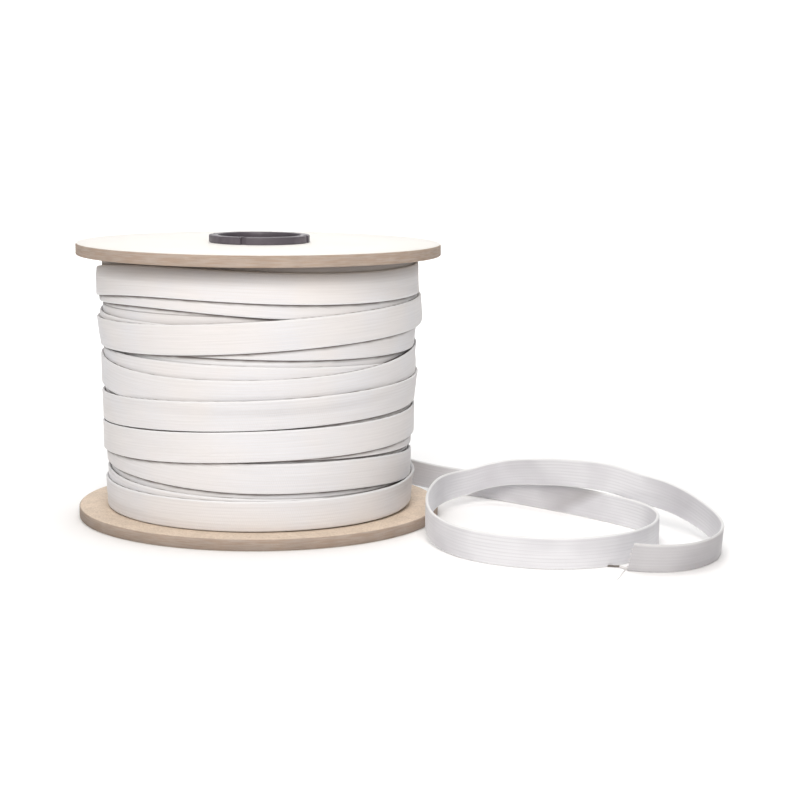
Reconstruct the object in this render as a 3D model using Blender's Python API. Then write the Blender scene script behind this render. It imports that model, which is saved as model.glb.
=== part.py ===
"""A board spool wound with white flat elastic, the tail of the elastic lying in two loops beside it."""

import math

import bmesh
import bpy
import numpy as np

MM = 0.001

# Spool boards
FLANGE_RADIUS = 75.0 * MM
FLANGE_THICKNESS = 4.8 * MM
FLANGE_EDGE_CHAMFER = 0.4 * MM
HOLE_DIP = 0.15 * MM
TRAVERSE = 104.0 * MM
FLANGE_SEGMENTS = 96

# Core tube, with a collar that stands on the top board
BORE_RADIUS = 17.0 * MM
TUBE_RADIUS = 19.0 * MM
COLLAR_RADIUS = 20.75 * MM
COLLAR_HEIGHT = 2.8 * MM
COLLAR_CHAMFER = 0.4 * MM
COLLAR_MARGIN = 1.5 * MM
NOTCH_WIDTH = 2.4 * MM
NOTCH_DEPTH = 1.6 * MM
NOTCH_ANGLES = (-14.0, 76.0, 166.0, 256.0)
HUB_SEGMENTS = 64

# Gap kept between pieces that touch, and how near two points of one seam are
GAP = 0.3 * MM
SEAM_REACH = 0.001 * MM

# Edges that turn by more than this many degrees are shaded sharp
HARD_CREASE = 30.0
SOFT_CREASE = 40.0

# Flat elastic
TAPE_WIDTH = 12.0 * MM
TAPE_THICKNESS = 1.2 * MM

# Radius of the packed turns under the last two layers: height above the floor, radius
PACKED_PROFILE = (
    (5.0 * MM, 61.2 * MM),
    (14.0 * MM, 61.2 * MM),
    (27.0 * MM, 62.1 * MM),
    (48.0 * MM, 62.2 * MM),
    (71.0 * MM, 62.9 * MM),
    (84.0 * MM, 64.4 * MM),
    (108.0 * MM, 64.6 * MM),
)

# The last two layers, one row a turn. The elastic travels clockwise seen from above, and an angle of
# travel is 0 at the back, 90 at the right and 180 at the front. Each row has the height of the tape's
# centre line, in mm, at the right, front right, front, front left and left.
STATION_ANGLES = (100.0, 140.0, 180.0, 220.0, 260.0)
RISING_LAYER = (
    (11.2, 11.4, 12.0, 13.5, 16.0),
    (23.2, 25.5, 26.2, 28.3, 30.2),
    (37.0, 38.2, 39.5, 41.0, 42.5),
    (49.5, 51.0, 52.0, 53.0, 54.5),
    (61.5, 63.0, 64.0, 65.0, 66.5),
    (77.2, 77.7, 78.9, 79.6, 80.5),
    (89.0, 92.0, 95.3, 97.4, 96.0),
)
FALLING_LAYER = (
    (100.2, 99.6, 100.7, 101.5, 98.0),
    (86.6, 84.3, 81.3, 78.8, 77.8),
    (65.5, 61.0, 58.7, 59.3, 62.6),
    (54.9, 53.1, 51.0, 49.1, 47.6),
    (41.4, 40.0, 38.8, 36.6, 34.9),
    (12.2, 11.3, 11.2, 11.2, 11.2),
)
LOWEST_CENTRE = 11.15 * MM
HIGHEST_CENTRE = 102.3 * MM

# The last turn ends here, in degrees of travel, and the loose end carries on from it
LAST_TURN_END = 348.0
BUTT_STEP = 0.4
SEATED_ANGLES = (348.9, 352.0, 356.0, 360.0)
SEATED_COLUMNS = 9
SEAT_EASE = 0.1 * MM

# Grid on which the turns are laid, and the coarser one of the wound solid
LAY_STEP = 3.0
LAY_ROW = 0.5 * MM
WOUND_STEP = 6.0
WOUND_ROWS = 60
SETTLE_REACH = 3
STEEPEST_TILT = 0.25
TILTS_TRIED = 41
EDGE_BLUR = 0.8 * MM

# The loose end, from where it leaves the roll at the back. Its second loop rides over the top edge of its
# first. Each row has its lower edge's place on the floor plan, from the spool's axis, how far it is lifted,
# and how far its top leans to the left of travel, or to the right where that is below 0.
LOOSE_END = (
    # x, y, lift in mm, lean in degrees
    (20.0, 65.3, 5.25, 5.0),
    (41.0, 64.0, 5.3, 1.0),
    (54.0, 59.2, 3.3, -4.0),
    (66.0, 53.0, 1.5, -8.0),
    (78.0, 45.9, 0.4, -10.0),
    (90.0, 37.9, 0.0, -9.0),
    (102.4, 28.0, 0.0, -6.0),
    (111.3, 19.8, 0.0, -3.0),
    (119.3, 12.3, 0.0, -1.0),
    (127.1, 4.6, 0.0, 0.0),
    (134.8, -3.2, 0.0, 0.0),
    (142.3, -11.5, 0.0, 0.0),
    (149.6, -20.6, 0.0, 0.0),
    (157.0, -32.6, 0.0, 0.0),
    (160.5, -48.0, 0.0, 0.0),
    (157.5, -67.0, 0.0, 0.0),
    (148.0, -84.0, 0.0, 0.0),
    (133.5, -95.0, 0.0, 0.0),
    (117.0, -98.8, 0.0, 0.0),
    (101.0, -95.3, 0.0, 0.0),
    (86.5, -86.0, 0.0, 0.0),
    (76.0, -71.5, 0.5, 0.0),
    (70.6, -55.0, 1.8, 0.0),
    (69.9, -39.0, 4.2, 0.0),
    (71.9, -24.5, 5.2, 0.0),
    (75.0, -10.0, 5.2, 0.0),
    (78.9, 3.2, 4.5, -2.0),
    (83.1, 11.0, 4.4, -6.0),
    (88.4, 16.4, 4.9, -10.0),
    (94.9, 19.5, 6.5, -14.0),
    (102.0, 20.2, 7.8, -16.0),
    (108.6, 17.4, 9.0, -15.0),
    (114.5, 12.4, 10.1, -14.0),
    (120.5, 6.3, 11.2, -12.0),
    (127.3, 0.1, 12.2, -9.0),
    (134.6, -6.0, 12.6, -6.0),
    (142.1, -11.6, 12.65, -2.0),
    (149.8, -17.2, 11.6, 2.0),
    (157.3, -22.6, 9.8, 4.0),
    (165.0, -28.8, 8.6, 3.0),
    (171.9, -36.2, 6.8, 2.0),
    (178.2, -45.8, 4.2, 0.0),
    (182.4, -57.5, 1.5, 1.0),
    (181.5, -74.0, 0.1, 5.0),
    (174.0, -90.0, 0.0, 14.0),
    (162.5, -100.3, 0.0, 20.0),
    (151.0, -101.8, 0.0, 20.0),
    (143.4, -99.7, 0.0, 18.0),
)
LOOSE_SPACING = 3.5 * MM
FREE_END_SLANT = 3.2 * MM
SLANT_SECTIONS = 4

# Finishes: colour, roughness and metallic value
FIBREBOARD = ("fibreboard", (0.62, 0.47, 0.33), 0.75, 0.0)
DARK_PLASTIC = ("dark_plastic", (0.06, 0.055, 0.065), 0.45, 0.0)
WHITE_ELASTIC = ("white_elastic", (0.86, 0.85, 0.84), 0.9, 0.0)


def clear_scene():
    for old in list(bpy.data.objects):
        bpy.data.objects.remove(old, do_unlink=True)


def finish(name, colour, roughness, metallic):
    """A plain material of that colour, made once."""
    found = bpy.data.materials.get(name)
    if found:
        return found
    made = bpy.data.materials.new(name)
    made.use_nodes = True
    surface = made.node_tree.nodes["Principled BSDF"]
    surface.inputs["Base Color"].default_value = (*colour, 1.0)
    surface.inputs["Roughness"].default_value = roughness
    surface.inputs["Metallic"].default_value = metallic
    return made


def add_object(name, mesh, finish_values, parent, crease):
    """A smooth-shaded piece on the stand, its edges sharp where they turn by more than the crease."""
    mesh.materials.append(finish(*finish_values))
    mesh.shade_smooth()
    mesh.set_sharp_from_angle(angle=math.radians(crease))
    made = bpy.data.objects.new(name, mesh)
    bpy.context.scene.collection.objects.link(made)
    made.parent = parent
    return made


def bridge_rings(shape, rings, closed):
    """Side faces between each ring of points and the next, and back to the first where it is closed."""
    followers = rings[1:] + rings[:1] if closed else rings[1:]
    for ring, following in zip(rings, followers):
        for i, vertex in enumerate(ring):
            j = (i + 1) % len(ring)
            shape.faces.new((vertex, ring[j], following[j], following[i]))


def finished_mesh(shape, name):
    """Turns the shape's faces outwards, and hands it over as a mesh."""
    bmesh.ops.recalc_face_normals(shape, faces=shape.faces)
    mesh = bpy.data.meshes.new(name)
    shape.to_mesh(mesh)
    shape.free()
    return mesh


def turned_mesh(name, profile, segments):
    """A closed outline of (radius, height) points, turned once round Z."""
    shape = bmesh.new()
    points = [shape.verts.new((radius, 0.0, height)) for radius, height in profile]
    edges = [shape.edges.new((a, b)) for a, b in zip(points, points[1:] + points[:1])]
    bmesh.ops.spin(
        shape,
        geom=points + edges,
        cent=(0.0, 0.0, 0.0),
        axis=(0.0, 0.0, 1.0),
        angle=2.0 * math.pi,
        steps=segments,
        use_merge=True,
        use_duplicate=False,
    )
    bmesh.ops.remove_doubles(shape, verts=shape.verts, dist=SEAM_REACH)
    return finished_mesh(shape, name)


def board_profile():
    """Half section of a flange board from its lower face up, with its rim's corners eased. Its upper face
    is flat as far in as the collar's margin, and dips from there to the hole."""
    hole = TUBE_RADIUS + GAP
    rim = FLANGE_RADIUS
    eased = FLANGE_EDGE_CHAMFER
    top = FLANGE_THICKNESS
    return (
        (hole, 0.0),
        (rim - eased, 0.0),
        (rim, eased),
        (rim, top - eased),
        (rim - eased, top),
        (COLLAR_RADIUS + COLLAR_MARGIN, top),
        (hole, top - HOLE_DIP),
    )


def make_flange(name, height, parent):
    mesh = turned_mesh(name, board_profile(), FLANGE_SEGMENTS)
    board = add_object(name, mesh, FIBREBOARD, parent, HARD_CREASE)
    board.location.z = height
    return board


def spool_height():
    return TRAVERSE + 2.0 * FLANGE_THICKNESS


def hub_profile():
    """Half section of the core tube, from its foot up, with the collar above the top board."""
    foot = GAP
    seat = spool_height() + GAP
    top = seat + COLLAR_HEIGHT
    eased = COLLAR_CHAMFER
    return (
        (BORE_RADIUS, foot),
        (TUBE_RADIUS, foot),
        (TUBE_RADIUS, seat),
        (COLLAR_RADIUS, seat),
        (COLLAR_RADIUS, top - eased),
        (COLLAR_RADIUS - eased, top),
        (BORE_RADIUS, top),
    )


def cut_notch(hub, angle):
    """One drive notch down the collar's outer wall, at that angle from the front towards the right."""
    turn = math.radians(angle)
    middle = spool_height() + GAP + 0.5 * COLLAR_HEIGHT
    shape = bmesh.new()
    bmesh.ops.create_cube(shape, size=1.0)
    size = (NOTCH_WIDTH, 2.0 * NOTCH_DEPTH, 2.0 * COLLAR_HEIGHT)
    bmesh.ops.scale(shape, vec=size, verts=shape.verts)
    cutter = bpy.data.objects.new("notch_cutter", finished_mesh(shape, "notch_cutter"))
    bpy.context.scene.collection.objects.link(cutter)
    cutter.location = (COLLAR_RADIUS * math.sin(turn), -COLLAR_RADIUS * math.cos(turn), middle)
    cutter.rotation_euler.z = turn
    cutter.parent = hub.parent
    cutter.hide_render = True
    cutter.display_type = "WIRE"
    cut = hub.modifiers.new("notch", "BOOLEAN")
    cut.object = cutter
    cut.operation = "DIFFERENCE"
    cut.solver = "EXACT"


def make_hub(parent):
    mesh = turned_mesh("hub", hub_profile(), HUB_SEGMENTS)
    hub = add_object("hub", mesh, DARK_PLASTIC, parent, HARD_CREASE)
    for angle in NOTCH_ANGLES:
        cut_notch(hub, angle)
    return hub


def smooth_through(knots, values, wanted):
    """Values at the wanted places on a natural cubic spline through (knots, values)."""
    knots = np.asarray(knots, float)
    values = np.asarray(values, float)
    count = len(knots)
    width = np.diff(knots)
    slope = np.diff(values) / width
    system = np.eye(count)
    right = np.zeros(count)
    for i in range(1, count - 1):
        system[i, i - 1 : i + 2] = width[i - 1], 2.0 * (width[i - 1] + width[i]), width[i]
        right[i] = 6.0 * (slope[i] - slope[i - 1])
    bend = np.linalg.solve(system, right)
    cell = np.clip(np.searchsorted(knots, wanted) - 1, 0, count - 2)
    step = width[cell]
    after = (wanted - knots[cell]) / step
    before = 1.0 - after
    ends = before * values[cell] + after * values[cell + 1]
    curl = (before**3 - before) * bend[cell] + (after**3 - after) * bend[cell + 1]
    return ends + curl * step**2 / 6.0


def packed_radius(height):
    heights, radii = zip(*PACKED_PROFILE)
    return np.interp(height, heights, radii)


def turn_heights():
    """Angles of travel from the first turn to the last, and the height of the tape's centre at each."""
    turns = RISING_LAYER + FALLING_LAYER
    angles = [360.0 * turn + station for turn in range(len(turns)) for station in STATION_ANGLES]
    heights = [height * MM for turn in turns for height in turn]
    last = 360.0 * (len(turns) - 1) + LAST_TURN_END
    travel = np.arange(0.0, last + 0.5 * LAY_STEP, LAY_STEP)
    angles = [0.0] + angles + [last]
    heights = heights[:1] + heights + heights[-1:]
    centres = smooth_through(angles, heights, travel)
    return travel, np.clip(centres, LOWEST_CENTRE, HIGHEST_CENTRE)


def resting_line(across, heights):
    """Middle height and tilt of a straight tape section pressed at its middle on the heights below it."""
    tilts = np.linspace(-STEEPEST_TILT, STEEPEST_TILT, TILTS_TRIED)
    needed = (heights[None, :] - tilts[:, None] * across[None, :]).max(axis=1)
    best = int(needed.argmin())
    return needed[best], tilts[best]


def lay_turns():
    """Thickness of the last two layers over the packed turns, on a grid of (angle, height)."""
    columns = int(round(360.0 / LAY_STEP))
    floor = FLANGE_THICKNESS
    row_heights = np.arange(floor, floor + TRAVERSE + 0.5 * LAY_ROW, LAY_ROW)
    laid = np.zeros((columns, len(row_heights)))
    travel, centres = turn_heights()
    lines = []
    for step in range(len(travel) + SETTLE_REACH):
        if step < len(travel):
            across = row_heights - centres[step]
            under = np.abs(across) <= 0.5 * TAPE_WIDTH
            lines.append(resting_line(across[under], laid[step % columns, under]))
        settled = step - SETTLE_REACH
        if settled >= 0:
            middle, tilt = np.mean(lines[max(0, settled - SETTLE_REACH) : settled + SETTLE_REACH + 1], axis=0)
            across = row_heights - centres[settled]
            under = np.abs(across) <= 0.5 * TAPE_WIDTH
            outer = middle + tilt * across[under] + TAPE_THICKNESS
            column = laid[settled % columns]
            column[under] = np.maximum(column[under], outer)
    return row_heights, laid


def blurred(laid):
    """The layers with their steps eased, so that a coarse grid shows them evenly."""
    reach = int(round(EDGE_BLUR / LAY_ROW))
    padded = np.pad(laid, ((0, 0), (reach, reach)), mode="edge")
    windows = [padded[:, i : i + laid.shape[1]] for i in range(2 * reach + 1)]
    return np.mean(windows, axis=0)


def place_on_roll(radius, travel_angle, height):
    """The point at that radius and height, at an angle of travel from the back towards the right."""
    turn = math.radians(travel_angle)
    return (radius * math.sin(turn), radius * math.cos(turn), height)


def wound_columns(row_heights, eased):
    """Angle and layers of each column of the wound solid. At the last turn's cut end two columns stand
    close together, and they differ only where the loose end lies instead of that turn."""
    columns = [(angle, eased[int(round(angle / LAY_STEP))]) for angle in np.arange(0.0, 360.0, WOUND_STEP)]
    end = int(round(LAST_TURN_END / LAY_STEP))
    under_tape = row_heights < LOWEST_CENTRE + 0.5 * TAPE_WIDTH + EDGE_BLUR
    columns.append((LAST_TURN_END + BUTT_STEP, np.where(under_tape, eased[end + 1], eased[end])))
    return sorted(columns, key=lambda column: column[0])


def make_winding(row_heights, laid, parent):
    """The wound elastic as one solid: its crossing turns stand proud of the packed ones."""
    low = FLANGE_THICKNESS + GAP
    high = FLANGE_THICKNESS + TRAVERSE - GAP
    heights = np.linspace(low, high, WOUND_ROWS + 1)
    core = TUBE_RADIUS + GAP
    shape = bmesh.new()
    rings = []
    for angle, layers in wound_columns(row_heights, blurred(laid)):
        radii = packed_radius(heights) + np.interp(heights, row_heights, layers)
        outline = [place_on_roll(r, angle, z) for r, z in zip(radii, heights)]
        outline += [place_on_roll(core, angle, high), place_on_roll(core, angle, low)]
        rings.append([shape.verts.new(point) for point in outline])
    bridge_rings(shape, rings, closed=True)
    return add_object("winding", finished_mesh(shape, "winding"), WHITE_ELASTIC, parent, SOFT_CREASE)


def loose_start_rows(row_heights, laid):
    """Rows for the stretch that still lies on the roll, a gap outside the turns below it."""
    first = int(round(LAST_TURN_END / LAY_STEP)) + 1
    columns = np.arange(first, first + SEATED_COLUMNS) % len(laid)
    across = row_heights - LOWEST_CENTRE
    below = np.abs(across) <= 0.5 * TAPE_WIDTH + EDGE_BLUR
    seat = packed_radius(row_heights[below]) + blurred(laid)[columns][:, below].max(axis=0)
    middle, tilt = resting_line(across[below], seat)
    radius = middle - 0.5 * TAPE_WIDTH * tilt + GAP + 0.5 * TAPE_THICKNESS + SEAT_EASE
    lift = (LOWEST_CENTRE - 0.5 * TAPE_WIDTH) / MM
    lean = math.degrees(math.atan(tilt))
    rows = []
    for angle in SEATED_ANGLES:
        x, y, _ = place_on_roll(radius, angle, 0.0)
        rows.append((x / MM, y / MM, lift, lean))
    return rows


def loose_path(rows):
    """Even steps along the loose end: lower edge's x, y and lift in metres, and lean in radians."""
    rows = np.array(rows, float)
    rows[:, :3] *= MM
    rows[:, 3] = np.radians(rows[:, 3])
    chord = np.hypot(*np.diff(rows[:, :2], axis=0).T)
    knots = np.concatenate([[0.0], np.cumsum(chord)])
    count = int(round(knots[-1] / LOOSE_SPACING))
    wanted = np.linspace(0.0, knots[-1], count + 1)
    path = np.stack([smooth_through(knots, rows[:, i], wanted) for i in range(4)], axis=1)
    path[:, 2] = np.maximum(path[:, 2], 0.0)
    return path


def tape_sections(path):
    """The four corners of the tape at each step, lower edge first, right face then left face."""
    along = np.gradient(path[:, :2], axis=0)
    along /= np.hypot(*along.T)[:, None]
    along3 = np.column_stack([along, np.zeros(len(path))])
    left = np.column_stack([-along[:, 1], along[:, 0], np.zeros(len(path))])
    up = np.array([0.0, 0.0, 1.0])
    lean = path[:, 3:4]
    rising = np.cos(lean) * up + np.sin(lean) * left
    facing = np.cos(lean) * left - np.sin(lean) * up
    half = 0.5 * TAPE_THICKNESS
    foot = path[:, :3] + half * np.abs(np.sin(lean)) * up
    top = foot + TAPE_WIDTH * rising
    cut_back = np.linspace(0.0, FREE_END_SLANT, SLANT_SECTIONS + 1)[1:, None]
    top[-SLANT_SECTIONS:] -= cut_back * along3[-SLANT_SECTIONS:]
    return np.stack([foot - half * facing, foot + half * facing, top + half * facing, top - half * facing], axis=1)


def make_loose_end(row_heights, laid, parent):
    path = loose_path(loose_start_rows(row_heights, laid) + list(LOOSE_END))
    shape = bmesh.new()
    rings = [[shape.verts.new(corner) for corner in section] for section in tape_sections(path)]
    bridge_rings(shape, rings, closed=False)
    shape.faces.new(rings[0])
    shape.faces.new(rings[-1])
    return add_object("loose_end", finished_mesh(shape, "loose_end"), WHITE_ELASTIC, parent, SOFT_CREASE)


def centre_on_floor(stand, pieces):
    """Moves the stand so that the origin is under the middle of the whole roll's box, on the floor."""
    corners = np.array([vertex.co for piece in pieces for vertex in piece.data.vertices])
    middle = 0.5 * (corners[:, :2].min(axis=0) + corners[:, :2].max(axis=0))
    stand.location = (-middle[0], -middle[1], 0.0)


def main():
    clear_scene()
    stand = bpy.data.objects.new("stand", None)
    bpy.context.scene.collection.objects.link(stand)
    row_heights, laid = lay_turns()
    bottom = make_flange("bottom_flange", 0.0, stand)
    make_flange("top_flange", FLANGE_THICKNESS + TRAVERSE, stand)
    make_hub(stand)
    winding = make_winding(row_heights, laid, stand)
    loose_end = make_loose_end(row_heights, laid, stand)
    centre_on_floor(stand, (bottom, winding, loose_end))


if __name__ == "__main__":
    main()
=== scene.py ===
"""Dresses the packed roll of flat elastic: its boards, core tube, wound turns and loose end."""

import math
import random

import bpy
import numpy as np
from mathutils import Matrix, Vector


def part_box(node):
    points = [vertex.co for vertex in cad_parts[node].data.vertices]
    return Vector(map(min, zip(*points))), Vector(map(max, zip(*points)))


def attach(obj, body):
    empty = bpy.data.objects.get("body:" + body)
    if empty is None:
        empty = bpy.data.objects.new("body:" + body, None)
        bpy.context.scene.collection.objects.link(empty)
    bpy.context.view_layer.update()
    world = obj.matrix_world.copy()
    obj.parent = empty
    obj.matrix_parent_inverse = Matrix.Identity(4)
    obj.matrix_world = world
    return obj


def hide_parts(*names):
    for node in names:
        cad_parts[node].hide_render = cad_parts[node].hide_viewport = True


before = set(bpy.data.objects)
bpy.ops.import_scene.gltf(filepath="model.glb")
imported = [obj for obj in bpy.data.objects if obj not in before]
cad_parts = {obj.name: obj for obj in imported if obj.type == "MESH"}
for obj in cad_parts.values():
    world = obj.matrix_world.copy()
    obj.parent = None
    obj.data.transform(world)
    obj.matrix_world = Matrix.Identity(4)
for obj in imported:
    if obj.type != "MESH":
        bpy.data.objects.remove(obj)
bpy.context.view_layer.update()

bl_info = {
    "name": "Roll of flat elastic",
    "version": (1, 0, 0),
    "blender": (4, 5, 0),
    "location": "View3D > Sidebar > Elastic",
    "description": "Boards, core tube, wound tape and loose end of a roll of flat elastic",
    "category": "Object",
}

MM = 0.001
BODY = "root"
WEAVE_MAP = "weave"

# Places that the frame gives. The hole in the boards lies under the collar, this far inside its wall.
LOW_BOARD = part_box("bottom_flange")
TOP_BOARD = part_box("top_flange")
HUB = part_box("hub")
AXIS = 0.5 * (TOP_BOARD[0] + TOP_BOARD[1])
BOARD_RADIUS = 0.5 * (TOP_BOARD[1].x - TOP_BOARD[0].x)
COLLAR_RADIUS = 0.5 * (HUB[1].x - HUB[0].x)
COLLAR_LAP = 1.45 * MM
HOLE_RADIUS = COLLAR_RADIUS - COLLAR_LAP
WOUND_LOW = LOW_BOARD[1].z
WOUND_HIGH = TOP_BOARD[0].z

# Radius of the packed turns under the last two layers: height above the floor, radius, in mm
PACKED_PROFILE = (
    (5.0, 61.2),
    (14.0, 61.2),
    (27.0, 62.1),
    (48.0, 62.2),
    (71.0, 62.9),
    (84.0, 64.4),
    (108.0, 64.6),
)

# The last two layers, one row a turn. The elastic travels clockwise seen from above, and an angle of
# travel is 0 at the back, 90 at the right and 180 at the front. Each row has the height of the tape's
# centre line, in mm, at the right, front right, front, front left and left.
STATION_ANGLES = (100.0, 140.0, 180.0, 220.0, 260.0)
RISING_LAYER = (
    (11.2, 11.4, 12.0, 13.5, 16.0),
    (23.2, 25.5, 26.2, 28.3, 30.2),
    (37.0, 38.2, 39.5, 41.0, 42.5),
    (49.5, 51.0, 52.0, 53.0, 54.5),
    (61.5, 63.0, 64.0, 65.0, 66.5),
    (77.2, 77.7, 78.9, 79.6, 80.5),
    (89.0, 92.0, 95.3, 97.4, 96.0),
)
FALLING_LAYER = (
    (100.2, 99.6, 100.7, 101.5, 98.0),
    (86.6, 84.3, 81.3, 78.8, 77.8),
    (65.5, 61.0, 58.7, 59.3, 62.6),
    (54.9, 53.1, 51.0, 49.1, 47.6),
    (41.4, 40.0, 38.8, 36.6, 34.9),
    (12.2, 11.3, 11.2, 11.2, 11.2),
)
LOWEST_CENTRE = 11.15
HIGHEST_CENTRE = 102.3

# The last turn leaves the roll's wound part here, and the loose end starts
LAST_TURN_END = 348.0
SEATED_ANGLES = (352.0, 356.0, 360.0)

# The loose end after that, its second loop riding over the top edge of its first: its lower edge's place
# on the floor plan from the spool's axis, how far it is lifted, in mm, and how far its top leans to the
# left of travel, in degrees
LOOSE_END = (
    # x, y, lift, lean
    (20.0, 65.3, 5.25, 5.0),
    (41.0, 64.0, 5.3, 1.0),
    (54.0, 59.2, 3.3, -4.0),
    (66.0, 53.0, 1.5, -8.0),
    (78.0, 45.9, 0.4, -10.0),
    (90.0, 37.9, 0.0, -9.0),
    (102.4, 28.0, 0.0, -6.0),
    (111.3, 19.8, 0.0, -3.0),
    (119.3, 12.3, 0.0, -1.0),
    (127.1, 4.6, 0.0, 0.0),
    (134.8, -3.2, 0.0, 0.0),
    (142.3, -11.5, 0.0, 0.0),
    (149.6, -20.6, 0.0, 0.0),
    (157.0, -32.6, 0.0, 0.0),
    (160.5, -48.0, 0.0, 0.0),
    (157.5, -67.0, 0.0, 0.0),
    (148.0, -84.0, 0.0, 0.0),
    (133.5, -95.0, 0.0, 0.0),
    (117.0, -98.8, 0.0, 0.0),
    (101.0, -95.3, 0.0, 0.0),
    (86.5, -86.0, 0.0, 0.0),
    (76.0, -71.5, 0.5, 0.0),
    (70.6, -55.0, 1.8, 0.0),
    (69.9, -39.0, 4.2, 0.0),
    (71.9, -24.5, 5.2, 0.0),
    (75.0, -10.0, 5.2, 0.0),
    (78.9, 3.2, 4.5, -2.0),
    (83.1, 11.0, 4.4, -6.0),
    (88.4, 16.4, 4.9, -10.0),
    (94.9, 19.5, 6.5, -14.0),
    (102.0, 20.2, 7.8, -16.0),
    (108.6, 17.4, 9.0, -15.0),
    (114.5, 12.4, 10.1, -14.0),
    (120.5, 6.3, 11.2, -12.0),
    (127.3, 0.1, 12.2, -9.0),
    (134.6, -6.0, 12.6, -6.0),
    (142.1, -11.6, 12.65, -2.0),
    (149.8, -17.2, 11.6, 2.0),
    (157.3, -22.6, 9.8, 4.0),
    (165.0, -28.8, 8.6, 3.0),
    (171.9, -36.2, 6.8, 2.0),
    (178.2, -45.8, 4.2, 0.0),
    (182.4, -57.5, 1.5, 1.0),
    (181.5, -74.0, 0.1, 5.0),
    (174.0, -90.0, 0.0, 14.0),
    (162.5, -100.3, 0.0, 20.0),
    (151.0, -101.8, 0.0, 20.0),
    (143.4, -99.7, 0.0, 18.0),
)

# The cut end, in mm from the spool's axis: the cut's corners, and its threads, each with its start, its
# tip, its sway, how many points it has, a seed, and its radius at the start and at the tip
CUT_LOW = (143.5, -99.8, 0.6)
CUT_HIGH = (145.5, -104.0, 11.4)
RUBBER = ((141.2, -95.2, 0.6), (136.6, -93.9, 0.4), 0.4, 14, 3, 0.38, 0.34)
COVER = ((143.9, -99.7, 0.7), RUBBER[0], 0.3, 10, 4, 0.6, 0.42)
FINE_YARN = ((142.6, -99.4, 0.3), (138.4, -112.6, 0.2), 1.2, 24, 5, 0.16, 0.1)
YARN_ENDS = 15
YARN_SEED = 17

# How the turns are laid: steps in degrees and mm, and how far a section's seat is evened along the tape
LAY_STEP = 3.0
LAY_ROW = 0.25
SETTLE_REACH = 3
STEEPEST_TILT = 0.25
TILTS_TRIED = 51

# The tape follows what lies under it by this share, evened over so many mm each way. Over its last degrees
# of travel it stays straight: over how many, and over how many more the share grows.
GIVE = 0.3
EVEN_REACH = 1.5
STRAIGHT_END = 12.0
GIVE_GROWS = 40.0

# How the tape wanders: how far in mm, the lengths of the waves, and a seed. The turns' lengths are in
# degrees of travel. The loose end's are in mm, and it starts to wander over its first WANDER_GROWS mm.
TURN_WANDER = (0.18, (95.0, 210.0, 333.0), 3)
CUP = (0.1, (61.0, 97.0, 143.0), 5)
FLUTTER = (0.12, (38.0, 57.0, 88.0), 8)
WANDER_GROWS = 60.0

# Steps along the loose end, and the slant of its cut: how far back its top lies, and how far back it grows
LOOSE_STEP = 1.5
SLANT = 3.2
SLANT_GROWS = 14.0

# Shade under the edge of the turn above: how far up that edge is, in mm, and how dark it makes a place.
# Below the top board it fades over this many mm.
SHADE_REACH = ((0.25, 1.0), (0.5, 0.9), (0.75, 0.7), (1.0, 0.4), (1.25, 0.2))
SHADE_STEP = (0.25, 0.85)
BOARD_SHADE = 8.2
SHADE_NAME = "shade"

# The pocket between the coils: where it ends, in mm of x at the first coil's foot and at its top, over how
# many mm it darkens, how long it is, how dark, and how dark at the foot beside the top. The first coil is
# this share of the loose end, the leaning end that share, and its shade grows over a part of it.
POCKET = (130.0, 145.0)
POCKET_GROWS = 6.0
POCKET_LENGTH = 15.0
POCKET_SHADE = 0.75
POCKET_FOOT = 0.4
POCKET_COIL = 0.45
LEANING_END = 0.1
LEANING_SHADE = 0.28
LEANING_GROWS = 0.3

# How the tape's section is drawn: samples across one rib, the power that rounds a rib, how far in from the
# edge a selvedge is rounded, as a share of the thickness, and the share of it that stays at the edge
RIB_PHASES = (0.0, 0.25, 0.5, 0.75)
RIB_ROUNDNESS = 0.7
SELVEDGE_ROUNDING = 0.6
SELVEDGE_LEFT = 0.3

# Spans in mm: where the tape's colours turn to the loose loops' painted shade past the roll, and where
# the selvedge's colour and a board's rim start and are whole, from the edge in
LOOSE_SHADE_SPAN = (15.0, 130.0)
SELVEDGE_SPAN = (0.7, 0.3)
RIM_SPAN = (0.6, 0.2)

# Faces round each turned piece, and the collar's drive notches: one shows in the photo, at the front
BOARD_FACES = 192
PACKED_FACES = 144
CORE_FACES = 128
NOTCH_ANGLES = (-14.0, 76.0, 166.0, 256.0)
NOTCH_LENGTH = 6.0 * MM

# Camera of the photograph, from the spool's axis, in mm and degrees
CAMERA_PLACE = (58.66, -785.41, 165.98)
CAMERA_PITCH = 8.532
CAMERA_ROLL = 0.527
CAMERA_LENS = 85.5
CAMERA_SENSOR = 36.0

# Lights, in metres: name, setting of the power, place, what it points at, size across and colour
ROLL_MIDDLE = (AXIS.x, AXIS.y, 0.05)
LIGHTS = (
    ("key_light", "key", (-0.08, -1.195, 0.95), ROLL_MIDDLE, 1.0, "#FFFAF6"),
    ("overhead_light", "overhead", (-0.02, 0.0, 1.6), ROLL_MIDDLE, 0.9, "#FFFFFF"),
    ("backdrop_light", "backdrop", (0.0, 0.9, 1.5), (0.0, 2.5, 0.5), 1.6, "#FFFFFF"),
)

# The floor and the backdrop that it sweeps up into, in metres
FLOOR_SIZE = (8.0, 5.0, 1.0)
FLOOR_MIDDLE = (0.0, -1.0, 0.0)
SWEEP_RADIUS = 0.6
SWEEP_STEPS = 12
BACKDROP_RISE = 2.5


def linear(hex_colour):
    """A screen colour such as #F6F3F0, as the linear values that shaders and lamps take."""
    channels = [int(hex_colour[i : i + 2], 16) / 255.0 for i in (1, 3, 5)]
    return tuple(c / 12.92 if c <= 0.04045 else ((c + 0.055) / 1.055) ** 2.4 for c in channels)


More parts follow.
